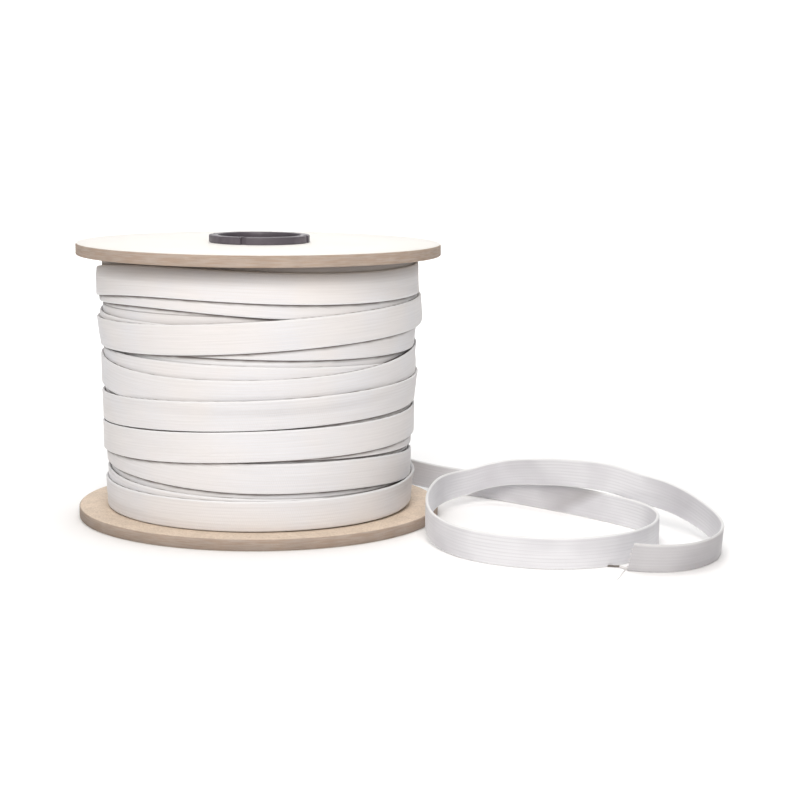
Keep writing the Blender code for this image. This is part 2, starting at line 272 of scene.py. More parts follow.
def colour_property(name, description, hex_colour):
    return bpy.props.FloatVectorProperty(
        name=name,
        description=description,
        subtype="COLOR",
        size=3,
        min=0.0,
        max=1.0,
        default=linear(hex_colour),
    )


def amount_property(name, description, amount, **others):
    return bpy.props.FloatProperty(name=name, description=description, default=amount, min=0.0, **others)


def length_property(name, description, millimetres):
    return amount_property(name, description, millimetres * MM, unit="LENGTH", precision=5)


class BoardSettings(bpy.types.PropertyGroup):
    """The two discs of the spool."""

    facing: length_property("Facing", "Thickness of the white paper on each board's outer face", 0.25)
    facing_inset: length_property("Facing inset", "How far the paper stops short of the rim", 0.35)
    arris: length_property("Arris", "Radius of the board's worn edges", 0.55)
    fibre: colour_property("Fibreboard", "Colour of the pressed board", "#E6D5C2")
    sawn: colour_property("Sawn rim", "Colour of the cut rim, where the fibres stand on end", "#B1A296")
    fleck: colour_property("Fleck", "Colour of the dark fibres in the board", "#9C8068")
    # Painted shade: how bright the lower board stays at the table
    shaded_foot_brightness: amount_property("Soiled", "Brightness of the lower board's rim at the table", 0.68, max=1.0)
    paper: colour_property("Paper", "Colour of the facing paper", "#F2F0EB")


class CoreSettings(bpy.types.PropertyGroup):
    """The moulded tube through the boards."""

    bore: length_property("Bore radius", "Radius of the hole for a spindle", 17.0)
    tube: length_property("Tube radius", "Radius of the tube inside the boards", 19.0)
    notch: length_property("Notch width", "Width of the drive notches in the collar", 2.4)
    notch_depth: length_property("Notch depth", "Depth of the drive notches", 1.6)
    plastic: colour_property("Plastic", "Colour of the moulded tube", "#5B555C")


class ElasticSettings(bpy.types.PropertyGroup):
    """The flat elastic."""

    width: length_property("Width", "Width of the tape", 12.0)
    thickness: length_property("Thickness", "Thickness of the tape between its ribs' crests", 1.2)
    ribs: bpy.props.IntProperty(
        name="Ribs",
        description="Number of ribs across the tape, one over each group of rubber threads",
        default=9,
        min=3,
        max=24,
    )
    rib_depth: length_property("Rib depth", "Depth of the furrow between two ribs", 0.02)
    pick: length_property("Pick pitch", "Distance between two picks of the weave", 0.9)
    yarn: colour_property("Yarn", "Colour of the bleached yarn, wound tight", "#E3E0DF")
    furrow: colour_property("Furrow", "Colour deep between the tight yarns", "#DDDAD9")
    cool: colour_property("Cool patches", "Tint of the slightly cooler stretches", "#E0E0E3")
    # Painted shade: darker, cooler copies of the yarn and furrow colours, for the loose loops
    loose_shade_yarn: colour_property("Slack yarn", "Colour of the yarn where it hangs slack", "#CCCBCF")
    loose_shade_furrow: colour_property("Slack furrow", "Colour deep between the slack yarns", "#CAC9CD")
    selvedge: colour_property("Selvedge", "Colour of the close yarns along both edges", "#E9E9EA")
    # Painted shade: the dark colour that the shade attribute mixes into the creases under the turns, the
    # wraps under the top board and the loose loops' pocket and leaning end
    painted_shade: colour_property("Crease", "Colour of the lint in the creases between the turns", "#6E6561")
    rubber: colour_property("Rubber", "Colour of a bared rubber thread", "#6E6660")


class StageSettings(bpy.types.PropertyGroup):
    """The floor and the lights."""

    floor: colour_property("Floor", "Colour of the floor and the backdrop", "#FCFCFC")
    key: amount_property("Key light", "Power of the large light above the front", 16.6, unit="POWER")
    overhead: amount_property("Overhead light", "Power of the light above the spool", 8.0, unit="POWER")
    backdrop: amount_property("Backdrop light", "Power of the light on the backdrop", 30.0, unit="POWER")
    fill: amount_property("Fill", "Strength of the even light from all round", 0.3)


def on_roll(radius, travel_angle, height):
    """The points at that radius and height in mm, at angles of travel in degrees, in metres in the frame."""
    turn = np.radians(travel_angle)
    x, y = radius * np.sin(turn), radius * np.cos(turn)
    return np.stack(np.broadcast_arrays(x * MM + AXIS.x, y * MM + AXIS.y, height * MM), axis=-1)


def smooth_through(knots, values, wanted):
    """Values at the wanted places on a natural cubic spline through (knots, values)."""
    knots = np.asarray(knots, float)
    values = np.asarray(values, float)
    count = len(knots)
    width = np.diff(knots)
    slope = np.diff(values) / width
    system = np.eye(count)
    right = np.zeros(count)
    for i in range(1, count - 1):
        system[i, i - 1 : i + 2] = width[i - 1], 2.0 * (width[i - 1] + width[i]), width[i]
        right[i] = 6.0 * (slope[i] - slope[i - 1])
    bend = np.linalg.solve(system, right)
    cell = np.clip(np.searchsorted(knots, wanted) - 1, 0, count - 2)
    step = width[cell]
    after = (wanted - knots[cell]) / step
    before = 1.0 - after
    ends = before * values[cell] + after * values[cell + 1]
    curl = (before**3 - before) * bend[cell] + (after**3 - after) * bend[cell + 1]
    return ends + curl * step**2 / 6.0


def packed_radius(height):
    heights, radii = zip(*PACKED_PROFILE)
    return np.interp(height, heights, radii)


def wander(places, size, wavelengths, seed):
    """A slow wandering between about -size and size along the places: a few waves out of step."""
    phases = np.random.default_rng(seed).uniform(0.0, 2.0 * math.pi, len(wavelengths))
    waves = [np.sin(2.0 * math.pi * places / length + phase) for length, phase in zip(wavelengths, phases)]
    return size * np.mean(waves, axis=0)


def turn_heights():
    """Angles of travel from the first turn to where the tape leaves the roll, and its centre's height."""
    turns = RISING_LAYER + FALLING_LAYER
    angles = [360.0 * turn + station for turn in range(len(turns)) for station in STATION_ANGLES]
    heights = [height for turn in turns for height in turn]
    last = 360.0 * len(turns)
    travel = np.arange(0.0, last + 0.5 * LAY_STEP, LAY_STEP)
    angles = [0.0] + angles + [last]
    heights = heights[:1] + heights + heights[-1:]
    centres = smooth_through(angles, heights, travel) + wander(travel, *TURN_WANDER)
    return travel, np.clip(centres, LOWEST_CENTRE, HIGHEST_CENTRE)


def resting_line(across, heights):
    """Middle height and tilt of a straight tape section pressed at its middle on the heights below it."""
    tilts = np.linspace(-STEEPEST_TILT, STEEPEST_TILT, TILTS_TRIED)
    needed = (heights[None, :] - tilts[:, None] * across[None, :]).max(axis=1)
    best = int(needed.argmin())
    return needed[best], tilts[best]


def lay_turns(width, thickness, grid):
    """Lays the last two layers turn by turn. For each step it gives the travel, the centre's height, and
    the radius of the tape's inner face at each place of the grid across it, all in degrees and mm. The
    last value is the finished roll's radius at each angle of travel and row of height."""
    columns = int(round(360.0 / LAY_STEP))
    floor = WOUND_LOW / MM
    rows = np.arange(floor, WOUND_HIGH / MM + 0.5 * LAY_ROW, LAY_ROW)
    laid = np.zeros((columns, len(rows)))
    travel, centres = turn_heights()
    left = 360.0 * (len(RISING_LAYER) + len(FALLING_LAYER)) - travel
    give = GIVE * np.clip((left - STRAIGHT_END) / GIVE_GROWS, 0.0, 1.0)
    ease = np.ones(2 * int(round(EVEN_REACH / LAY_ROW)) + 1)
    ease /= ease.sum()
    lines = []
    seats = np.zeros((len(travel), len(grid)))
    half = 0.5 * width
    for step in range(len(travel) + SETTLE_REACH):
        if step < len(travel):
            across = rows - centres[step]
            under = np.abs(across) <= half
            lines.append(resting_line(across[under], laid[step % columns, under]))
        done = step - SETTLE_REACH
        if done < 0:
            continue
        column = laid[done % columns]
        middle, tilt = np.mean(lines[max(0, done - SETTLE_REACH) : done + SETTLE_REACH + 1], axis=0)
        below = np.convolve(np.pad(column, len(ease) // 2, mode="edge"), ease, mode="valid")
        places = centres[done] + grid
        seat = (1.0 - give[done]) * (middle + tilt * grid) + give[done] * np.interp(places, rows, below)
        seats[done] = seat + packed_radius(places)
        across = rows - centres[done]
        under = np.abs(across) <= half
        outer = np.interp(across[under], grid, seat) + thickness
        column[under] = np.maximum(column[under], outer)
    return travel, centres, seats, laid + packed_radius(rows)


def shade_on_roll(angles, heights, radii, finished):
    """How deep places on the roll lie in the shade of the turn's edge above them or of the top board."""
    columns = np.round(angles / LAY_STEP).astype(int) % len(finished)
    shade = np.clip((heights - WOUND_HIGH / MM + BOARD_SHADE) / BOARD_SHADE, 0.0, 1.0)
    start, whole = SHADE_STEP
    for reach, share in SHADE_REACH:
        row = np.round((heights + reach - WOUND_LOW / MM) / LAY_ROW).astype(int)
        above = finished[columns, np.clip(row, 0, finished.shape[1] - 1)]
        shade = np.maximum(shade, share * np.clip((above - radii - start) / (whole - start), 0.0, 1.0))
    return shade


def across_places(width, ribs):
    """Places across the tape where its section has a point, edge to edge."""
    pitch = width / ribs
    places = [(rib + phase) * pitch for rib in range(ribs) for phase in RIB_PHASES]
    return np.array(places + [width]) - 0.5 * width


def half_section(places, settings):
    """How far the tape's face stands from its middle at those places: ribs between rounded selvedges."""
    width, thickness = settings.width / MM, settings.thickness / MM
    pitch = width / settings.ribs
    crest = np.abs(np.sin(math.pi * (places + 0.5 * width) / pitch)) ** RIB_ROUNDNESS
    ribs = settings.rib_depth / MM * (crest - 1.0)
    rounding = SELVEDGE_ROUNDING * thickness
    inward = np.clip((np.abs(places) - (0.5 * width - rounding)) / rounding, 0.0, 1.0)
    return (0.5 * thickness + ribs) * np.maximum(np.sqrt(1.0 - inward**2), SELVEDGE_LEFT)


def shade_on_loops(foot, share):
    """How deep places of the loose tape lie in shade: on its left face the last stretch, which leans out
    over the floor, and on its right the first coil, in the pocket beside the place where it is crossed."""
    count = len(foot)
    step = np.arange(count)[:, None]
    reach = POCKET[0] + (POCKET[1] - POCKET[0]) * share - foot[:, :1]
    inside = (step < POCKET_COIL * count) * np.clip(reach / POCKET_GROWS, 0.0, 1.0)
    depth = POCKET_FOOT + (1.0 - POCKET_FOOT) * share
    pocket = inside * np.exp(-np.maximum(reach, 0.0) / POCKET_LENGTH) * depth
    grows = LEANING_GROWS * LEANING_END * count
    leaning = np.clip((step - (1.0 - LEANING_END) * count) / grows, 0.0, 1.0)
    return LEANING_SHADE * leaning * np.ones(len(share)), POCKET_SHADE * pocket


def add_shade(mesh, shade):
    values = np.asarray(shade, np.float32).ravel()
    mesh.attributes.new(SHADE_NAME, "FLOAT", "POINT").data.foreach_set("value", values)


def map_weave(mesh, places):
    """Gives each corner of the mesh's faces its place in the weave, in mm along and across the tape."""
    layer = mesh.uv_layers[0] if mesh.uv_layers else mesh.uv_layers.new()
    layer.name = WEAVE_MAP
    layer.uv.foreach_set("vector", places.astype(np.float32).ravel())


def ribbon(name, rings, along, across):
    """A closed strip through the rings of points, with a UV map of mm along and across it."""
    count, size = rings.shape[:2]
    first = np.arange(count - 1)[:, None] * size
    near = np.arange(size)[None, :]
    far = (near + 1) % size
    quads = np.stack([first + near, first + far, first + size + far, first + size + near], axis=-1)
    faces = quads.reshape(-1, 4).tolist()
    faces.append(list(range(size))[::-1])
    faces.append(list(range((count - 1) * size, count * size)))
    piece = new_piece(name, rings.reshape(-1, 3).tolist(), faces)
    places = np.array([loop.vertex_index for loop in piece.data.loops])
    map_weave(piece.data, np.stack([along[places // size], across[places % size]], axis=-1))
    piece.data.set_sharp_from_angle(angle=math.radians(60.0))
    return piece


def new_piece(name, points, faces):
    mesh = bpy.data.meshes.new(name)
    mesh.from_pydata(points, [], faces)
    piece = bpy.data.objects.new(name, mesh)
    bpy.context.scene.collection.objects.link(piece)
    turn_faces_out(piece)
    return piece


def turn_faces_out(piece):
    """Turns a piece's faces outwards and makes them smooth."""
    pick(piece)
    bpy.ops.object.mode_set(mode="EDIT")
    bpy.ops.mesh.select_all(action="SELECT")
    bpy.ops.mesh.normals_make_consistent(inside=False)
    bpy.ops.object.mode_set(mode="OBJECT")
    piece.data.shade_smooth()


def deselect():
    if bpy.context.object and bpy.context.object.mode != "OBJECT":
        bpy.ops.object.mode_set(mode="OBJECT")
    bpy.ops.object.select_all(action="DESELECT")


def pick(piece):
    """Makes that piece the only one selected, and the active one."""
    deselect()
    piece.select_set(True)
    bpy.context.view_layer.objects.active = piece


def apply_modifiers(piece):
    pick(piece)
    for modifier in list(piece.modifiers):
        bpy.ops.object.modifier_apply(modifier=modifier.name)


def settle(piece, material, node):
    """Gives a finished piece its place in its mesh, its finish, its body and the node that it stands for."""
    pick(piece)
    bpy.ops.object.transform_apply(location=True, rotation=True, scale=True)
    piece.data.materials.clear()
    piece.data.materials.append(material)
    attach(piece, BODY)
    if node:
        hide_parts(node)
    return piece


def turned(name, profile, segments):
    """Turns a closed outline of (radius, height) round the spool's axis: a ring of edges is extruded,
    scaled and lifted from point to point, and the last ring is joined to the first."""
    deselect()
    radius, height = profile[0]
    bpy.ops.mesh.primitive_circle_add(
        vertices=segments, radius=radius, fill_type="NOTHING", location=(AXIS.x, AXIS.y, height)
    )
    piece = bpy.context.object
    piece.name = name
    piece.data.name = name
    bpy.ops.object.mode_set(mode="EDIT")
    bpy.ops.mesh.select_all(action="SELECT")
    for (radius, height), (next_radius, next_height) in zip(profile, profile[1:] + profile[:1]):
        rise = (0.0, 0.0, next_height - height)
        bpy.ops.mesh.extrude_edges_move(TRANSFORM_OT_translate={"value": rise})
        growth = (next_radius / radius, next_radius / radius, 1.0)
        bpy.ops.transform.resize(value=growth, center_override=(AXIS.x, AXIS.y, next_height))
    bpy.ops.mesh.select_all(action="SELECT")
    bpy.ops.mesh.remove_doubles(threshold=1e-6)
    bpy.ops.object.mode_set(mode="OBJECT")
    turn_faces_out(piece)
    return piece


def rounded_corner(radius, height, size, start):
    """Three points that round an outline's corner, whose centre is at that radius and height."""
    turns = [math.radians(start + 22.5 + 22.5 * i) for i in range(3)]
    return [(radius + size * math.cos(turn), height + size * math.sin(turn)) for turn in turns]


def new_material(name):
    """An empty node material with its output and Principled shader. It gives the tree and the shader."""
    material = bpy.data.materials.new(name)
    material.use_nodes = True
    tree = material.node_tree
    tree.nodes.clear()
    surface = tree.nodes.new("ShaderNodeBsdfPrincipled")
    output = tree.nodes.new("ShaderNodeOutputMaterial")
    tree.links.new(surface.outputs["BSDF"], output.inputs["Surface"])
    return material, tree, surface


def feed(tree, node, inputs):
    """Sets a node's inputs: each to a value, or linked to an output or to a node's first output in use."""
    for name, value in inputs.items():
        socket = node.inputs[name]
        if isinstance(value, bpy.types.Node):
            value = next(output for output in value.outputs if output.enabled)
        if isinstance(value, bpy.types.NodeSocket):
            tree.links.new(value, socket)
        else:
            socket.default_value = (*value, 1.0) if socket.type == "RGBA" else value


def add_node(tree, kind, inputs=None, **settings):
    """Adds a shader node of a kind such as Mix, with its own settings and inputs."""
    node = tree.nodes.new("ShaderNode" + kind)
    for name, value in settings.items():
        setattr(node, name, value)
    feed(tree, node, inputs or {})
    return node


def woven_elastic(elastic, name, yarn, furrow):
    """Flat elastic, woven of bleached bulked polyester over covered rubber threads: soft, matt and white,
    with a little down that catches light at its edges. Its ribs are in the mesh. The picks that cross
    them are bump, drawn about twice as wide as real so that they show. Painted shade, read from the
    mesh's shade attribute, darkens the creases under the turns' edges; past the roll the colours turn
    to the darker ones given, painted shade on the loose loops."""
    material, tree, surface = new_material(name)
    weave = add_node(tree, "UVMap", uv_map=WEAVE_MAP)
    along, across, _ = add_node(tree, "SeparateXYZ", {0: weave}).outputs

    # Painted shade: past the roll the yarns turn to the darker, cooler colours given for the loose loops
    loose_shade_share = add_node(tree, "MapRange", {0: along, 1: LOOSE_SHADE_SPAN[0], 2: LOOSE_SHADE_SPAN[1]})
    yarn_tone, furrow_tone = (
        add_node(tree, "Mix", {0: loose_shade_share, 6: tight, 7: slack}, data_type="RGBA")
        for tight, slack in ((elastic.yarn, yarn), (elastic.furrow, furrow))
    )

    # Ribs counted across the tape, and picks counted along it, set half a pick on from rib to rib
    width = elastic.width / MM
    counted = {0: across, 1: elastic.ribs / width, 2: 0.5 * elastic.ribs}
    rib = add_node(tree, "Math", counted, operation="MULTIPLY_ADD")
    row = add_node(tree, "Math", {0: rib}, operation="FLOOR")
    shift = add_node(tree, "Math", {0: row, 1: 0.5}, operation="MULTIPLY")
    picks = add_node(tree, "Math", {0: along, 1: MM / elastic.pick, 2: shift}, operation="MULTIPLY_ADD")
    waves = {0: add_wave(tree, rib), 1: add_wave(tree, picks)}
    crossing = add_node(tree, "Math", waves, operation="MULTIPLY")
    stitch = add_node(tree, "Math", {0: crossing, 1: 0.5}, operation="POWER")

    # Yarns that lie a little higher or lower for a few centimetres, each about 0.6 mm wide
    drawn_out = add_node(tree, "VectorMath", {0: weave, 1: (0.035, 1.6, 0.0)}, operation="MULTIPLY")
    streak = add_node(tree, "TexNoise", {"Vector": drawn_out, "Scale": 1.0, "Detail": 2.0})
    # Cooler and warmer patches, some 30 mm wide
    body = add_node(tree, "TexCoord").outputs["Object"]
    patch = add_node(tree, "TexNoise", {"Vector": body, "Scale": 33.0, "Detail": 2.0})
    cooled = add_node(tree, "MapRange", {0: patch, 1: 0.38, 2: 0.62})
    tint = add_node(tree, "Mix", {0: cooled, 6: yarn_tone, 7: elastic.cool}, data_type="RGBA")
    depth = add_node(tree, "MapRange", {0: stitch, 1: 0.0, 2: 0.5})
    woven = add_node(tree, "Mix", {0: depth, 6: furrow_tone, 7: tint}, data_type="RGBA")

    # The selvedge is the last half millimetre, woven closer and without rubber
    in_tape = add_node(tree, "Math", {0: across, 1: 0.5 * width, 2: -0.5 * width}, operation="WRAP")
    from_middle = add_node(tree, "Math", {0: in_tape}, operation="ABSOLUTE")
    start, whole = (0.5 * width - inward for inward in SELVEDGE_SPAN)
    edge = add_node(tree, "MapRange", {0: from_middle, 1: start, 2: whole})
    edged = add_node(tree, "Mix", {0: edge, 6: woven, 7: elastic.selvedge}, data_type="RGBA")
    shade = add_node(tree, "MapRange", {0: streak, 1: 0.3, 2: 0.7, 3: 0.94, 4: 1.0})
    streaked = add_node(tree, "VectorMath", {0: edged, "Scale": shade}, operation="SCALE")
    # Painted shade: the mesh's shade attribute darkens the creases under the turns' edges, the wraps under
    # the top board, the loops' pocket and their leaning end towards the shade colour
    painted_shade = add_node(tree, "Attribute", attribute_name=SHADE_NAME).outputs["Fac"]
    shaded = add_node(tree, "Mix", {0: painted_shade, 6: streaked, 7: elastic.painted_shade}, data_type="RGBA")
    rough = add_node(tree, "MapRange", {0: streak, 1: 0.3, 2: 0.7, 3: 0.9, 4: 0.76})
    relief = add_node(tree, "Math", {0: streak, 1: 0.8, 2: stitch}, operation="MULTIPLY_ADD")
    bump = add_node(tree, "Bump", {"Height": relief, "Strength": 0.45, "Distance": 0.05 * MM})
    feed(tree, surface, {"Base Color": shaded, "Roughness": rough, "Normal": bump})
    feed(tree, surface, {"Sheen Weight": 0.2, "Sheen Roughness": 0.5, "Specular IOR Level": 0.25})
    return material


def add_wave(tree, count):
    """Half waves that rise from 0 to 1 and fall back, once for each whole number of the count."""
    wave = add_node(tree, "Math", {0: count, 1: math.pi}, operation="MULTIPLY")
    for operation in ("SINE", "ABSOLUTE"):
        wave = add_node(tree, "Math", {0: wave}, operation=operation)
    return wave


def pressed_fibreboard(board):
    """Fibreboard, wood fibres felted and pressed flat, then turned round: tan, dry and dull. Its faces show
    fine fibres and a few dark flecks, and its rim the thin layers on end, greyer and rougher."""
    material, tree, surface = new_material("pressed_fibreboard")
    body = add_node(tree, "TexCoord").outputs["Object"]
    place = add_node(tree, "Mapping", {"Vector": body, "Location": (-AXIS.x, -AXIS.y, 0.0)})

    # Fibres about 1 mm long, clouds about 8 mm wide, and layers about 0.5 mm thick
    felt = {"Vector": place, "Scale": 1000.0, "Detail": 4.0, "Distortion": 1.5}
    fibres = add_node(tree, "TexNoise", felt)
    clouds = add_node(tree, "TexNoise", {"Vector": place, "Scale": 125.0, "Detail": 3.0})
    squeezed = add_node(tree, "VectorMath", {0: place, 1: (1.0, 1.0, 16.0)}, operation="MULTIPLY")
    layers = add_node(tree, "TexNoise", {"Vector": squeezed, "Scale": 125.0, "Detail": 3.0})
    plan = add_node(tree, "VectorMath", {0: place, 1: (1.0, 1.0, 0.0)}, operation="MULTIPLY")
    reach = add_node(tree, "VectorMath", {0: plan}, operation="LENGTH")
    start, whole = (BOARD_RADIUS - inward * MM for inward in RIM_SPAN)
    on_rim = add_node(tree, "MapRange", {0: reach, 1: start, 2: whole})

    flecks = add_node(tree, "MapRange", {0: fibres, 1: 0.36, 2: 0.56, 3: 0.35, 4: 0.0})
    face = add_node(tree, "Mix", {0: flecks, 6: board.fibre, 7: board.fleck}, data_type="RGBA")
    lines = add_node(tree, "MapRange", {0: layers, 1: 0.38, 2: 0.6, 3: 0.4, 4: 0.0})
    rim = add_node(tree, "Mix", {0: lines, 6: board.sawn, 7: board.fleck}, data_type="RGBA")
    both = add_node(tree, "Mix", {0: on_rim, 6: face, 7: rim}, data_type="RGBA")
    cloudy = add_node(tree, "MapRange", {0: clouds, 1: 0.35, 2: 0.65, 3: 0.93, 4: 1.03})
    # Painted shade: the lower board darkens towards the table that it stands on
    height = add_node(tree, "SeparateXYZ", {0: place}).outputs[2]
    painted_foot_shade = add_node(tree, "MapRange", {0: height, 1: 0.0, 2: LOW_BOARD[1].z, 3: board.shaded_foot_brightness, 4: 1.0})
    tone_scale = add_node(tree, "Math", {0: cloudy, 1: painted_foot_shade}, operation="MULTIPLY")
    toned = add_node(tree, "VectorMath", {0: both, "Scale": tone_scale}, operation="SCALE")
    rough = add_node(tree, "MapRange", {0: fibres, 1: 0.3, 2: 0.7, 3: 0.72, 4: 0.9})
    grain = add_node(tree, "Math", {0: layers, 1: on_rim, 2: fibres}, operation="MULTIPLY_ADD")
    bump = add_node(tree, "Bump", {"Height": grain, "Strength": 0.7, "Distance": 0.12 * MM})
    feed(tree, surface, {"Base Color": toned, "Roughness": rough, "Normal": bump, "Specular IOR Level": 0.3})
    return material


def facing_paper(board):
    """Liner paper, bleached and machine glazed, glued to the board: white, smooth and slightly cloudy, with
    the faint tooth of its pulp."""
    material, tree, surface = new_material("bleached_liner_paper")
    body = add_node(tree, "TexCoord").outputs["Object"]
    pulp = add_node(tree, "TexNoise", {"Vector": body, "Scale": 450.0, "Detail": 4.0})
    cloud = add_node(tree, "TexNoise", {"Vector": body, "Scale": 35.0, "Detail": 3.0})
    tone = add_node(tree, "MapRange", {0: cloud, 1: 0.35, 2: 0.65, 3: 0.965, 4: 1.0})
    tinted = add_node(tree, "VectorMath", {0: board.paper, "Scale": tone}, operation="SCALE")
    rough = add_node(tree, "MapRange", {0: cloud, 1: 0.3, 2: 0.7, 3: 0.55, 4: 0.68})
    bump = add_node(tree, "Bump", {"Height": pulp, "Strength": 0.35, "Distance": 0.05 * MM})
    feed(tree, surface, {"Base Color": tinted, "Roughness": rough, "Normal": bump})
    feed(tree, surface, {"Specular IOR Level": 0.35})
    return material


def moulded_plastic(core):
    """Polypropylene, injection moulded in a spark-eroded mould: dark grey, with a low even sheen, a little
    paler and smoother where spindles have rubbed it."""
    material, tree, surface = new_material("moulded_polypropylene")
    body = add_node(tree, "TexCoord").outputs["Object"]
    # Mould pits about 0.7 mm wide, drawn coarser than real, and rubbed patches about 6 mm wide
    pits = add_node(tree, "TexNoise", {"Vector": body, "Scale": 1400.0, "Detail": 2.0})
    rubbed = add_node(tree, "TexNoise", {"Vector": body, "Scale": 160.0, "Detail": 4.0})
    tone_scale = add_node(tree, "MapRange", {0: rubbed, 1: 0.45, 2: 0.7, 3: 0.9, 4: 1.25})
    tone = add_node(tree, "VectorMath", {0: core.plastic, "Scale": tone_scale}, operation="SCALE")
    rough = add_node(tree, "MapRange", {0: rubbed, 1: 0.3, 2: 0.7, 3: 0.55, 4: 0.42})
    bump = add_node(tree, "Bump", {"Height": pits, "Strength": 0.4, "Distance": 0.04 * MM})
    feed(tree, surface, {"Base Color": tone, "Roughness": rough, "Normal": bump})
    return material


def bared_rubber(elastic):
    """Rubber thread, extruded and cut: grey-brown and dull, dusted with the talc that it was made with."""
    material, tree, surface = new_material("extruded_rubber_thread")
    body = add_node(tree, "TexCoord").outputs["Object"]
    talc = add_node(tree, "TexNoise", {"Vector": body, "Scale": 2500.0, "Detail": 2.0})
    share = add_node(tree, "MapRange", {0: talc, 1: 0.4, 2: 0.7, 3: 0.85, 4: 1.3})
    tone = add_node(tree, "VectorMath", {0: elastic.rubber, "Scale": share}, operation="SCALE")
    feed(tree, surface, {"Base Color": tone, "Roughness": 0.6})
    return material


def pale_floor(stage):
    """Backdrop card, coated and matt: near white and even."""
    material, tree, surface = new_material("coated_backdrop_card")
    body = add_node(tree, "TexCoord").outputs["Object"]
    mottle = add_node(tree, "TexNoise", {"Vector": body, "Scale": 6.0, "Detail": 2.0})
    tone = add_node(tree, "MapRange", {0: mottle, 1: 0.3, 2: 0.7, 3: 0.99, 4: 1.0})
    shade = add_node(tree, "VectorMath", {0: stage.floor, "Scale": tone}, operation="SCALE")
    feed(tree, surface, {"Base Color": shade, "Roughness": 0.9})
    return material


def board_outline(board, low, high):
    """Half section of a board between its lower and upper faces, its rim with worn corners and with the
    low ridges of its layers. It runs from the hole out along the lower face, and back along the upper."""
    rim, size = BOARD_RADIUS, board.arris
    ridge, steps = 0.05 * MM, 7
    tall = high - low - 2.0 * size
    ridges = [(rim - (ridge if i % 2 else 0.0), low + size + tall * (i + 0.5) / steps) for i in range(steps)]
    wide = rim - 2.0 * size - HOLE_RADIUS
    under = [(HOLE_RADIUS + wide * share, low) for share in (0.0, 0.4, 0.75, 1.0)]
    over = [(radius, high) for radius, _ in reversed(under)]
    lower = rounded_corner(rim - size, low + size, size, -90.0)
    upper = rounded_corner(rim - size, high - size, size, 0.0)
    return under + lower + ridges + upper + over


class ELASTIC_ROLL_OT_boards(bpy.types.Operator):
    """Makes both fibreboard discs, with worn rims, and the white paper on their outer faces"""

    bl_idname = "elastic_roll.boards"
    bl_label = "Boards"

    def execute(self, context):
        board = context.scene.elastic_roll_boards
        fibre, paper = pressed_fibreboard(board), facing_paper(board)
        edge, bend = BOARD_RADIUS - board.facing_inset, 0.5 * board.facing
        for name, node, (low, high), paper_on_top in (
            ("bottom_board", "bottom_flange", LOW_BOARD, False),
            ("top_board", "top_flange", TOP_BOARD, True),
        ):
            paper_low = high.z - board.facing if paper_on_top else low.z
            wood_low = low.z if paper_on_top else low.z + board.facing
            outline = board_outline(board, wood_low, wood_low + (high - low).z - board.facing)
            settle(turned(name, outline, BOARD_FACES), fibre, node)
            under = [(HOLE_RADIUS, paper_low), (0.6 * edge, paper_low), (edge - bend, paper_low)]
            over = [(radius, paper_low + board.facing) for radius, _ in reversed(under)]
            outline = under + [(edge, paper_low + bend)] + over
            sheet = turned(name.replace("board", "facing"), outline, BOARD_FACES)
            sheet.data.set_sharp_from_angle(angle=math.radians(50.0))
            settle(sheet, paper, node)
        return {"FINISHED"}


class ELASTIC_ROLL_OT_core(bpy.types.Operator):
    """Makes the moulded core tube, its collar and the collar's notches"""

    bl_idname = "elastic_roll.core"
    bl_label = "Core tube"

    def execute(self, context):
        core = context.scene.elastic_roll_core
        foot, top = HUB[0].z, HUB[1].z
        # The collar stands on the top board, and its foot is sharper than its other edges
        seat = TOP_BOARD[1].z + 0.05 * MM
        bore, collar, eased, foot_ease = core.bore, COLLAR_RADIUS, 0.45 * MM, 0.25 * MM
        outline = [(bore + eased, foot), (core.tube - eased, foot)]
        outline += rounded_corner(core.tube - eased, foot + eased, eased, -90.0)
        outline += [(core.tube, 0.5 * (foot + seat)), (core.tube, seat)]
        outline += [(collar - foot_ease, seat), (collar, seat + foot_ease)]
        outline += [(collar, 0.5 * (seat + top)), (collar, top - eased)]
        outline += rounded_corner(collar - eased, top - eased, eased, 0.0)
        outline += [(collar - eased, top), (bore + 2.0 * eased, top)]
        outline += rounded_corner(bore + eased, top - eased, eased, 90.0)
        outline += [(bore, top - 3.0 * eased), (bore, 0.5 * (foot + top)), (bore, foot + eased)]
        tube = turned("core_tube", outline, CORE_FACES)
        for angle in NOTCH_ANGLES:
            self.cut_notch(tube, core, math.radians(angle), 0.5 * (seat + top))
        tube.data.shade_smooth()
        tube.data.set_sharp_from_angle(angle=math.radians(40.0))
        settle(tube, moulded_plastic(core), "hub")
        return {"FINISHED"}

    def cut_notch(self, tube, core, turn, height):
        """Cuts one drive notch down the collar's outer wall."""
        deselect()
        x, y = AXIS.x + COLLAR_RADIUS * math.sin(turn), AXIS.y - COLLAR_RADIUS * math.cos(turn)
        bpy.ops.mesh.primitive_cube_add(
            size=1.0,
            location=(x, y, height),
            rotation=(0.0, 0.0, turn),
            scale=(core.notch, 2.0 * core.notch_depth, NOTCH_LENGTH),
        )
        cutter = bpy.context.object
        cut = tube.modifiers.new("notch", "BOOLEAN")
        cut.object = cutter
        cut.operation = "DIFFERENCE"
        cut.solver = "EXACT"
        apply_modifiers(tube)
        bpy.data.objects.remove(cutter, do_unlink=True)


